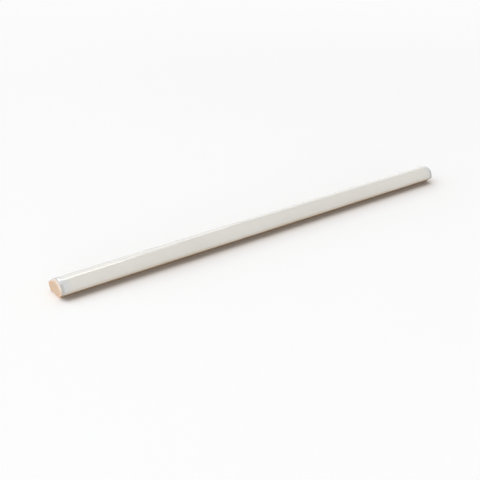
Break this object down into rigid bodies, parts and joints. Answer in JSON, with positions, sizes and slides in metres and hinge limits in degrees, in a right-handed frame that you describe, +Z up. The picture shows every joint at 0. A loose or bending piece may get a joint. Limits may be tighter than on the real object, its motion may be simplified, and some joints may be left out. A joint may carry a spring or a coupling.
{
  "type": "rounded edge tile",
  "caption": "Slim glazed ceramic trim strip with a domed top and a rounded nose, lying on its flat foot, to finish the edge of a tiled area.",
  "frame": {"origin": "middle of the outline on the surface that the foot rests on", "axes": "+X along the strip's length, +Y towards the straight back edge that meets the next tile, -Y towards the rounded nose, +Z up through the glazed dome"},
  "size_m": [0.2, 0.012, 0.008],
  "materials": {
    "glazed_body": "gloss warm white glaze over a pale terracotta body, bare on the ends, the undercut and the underside"
  },
  "bodies": {
    "root": {"edge_tile": "glazed_body"}
  },
  "joints": []
}
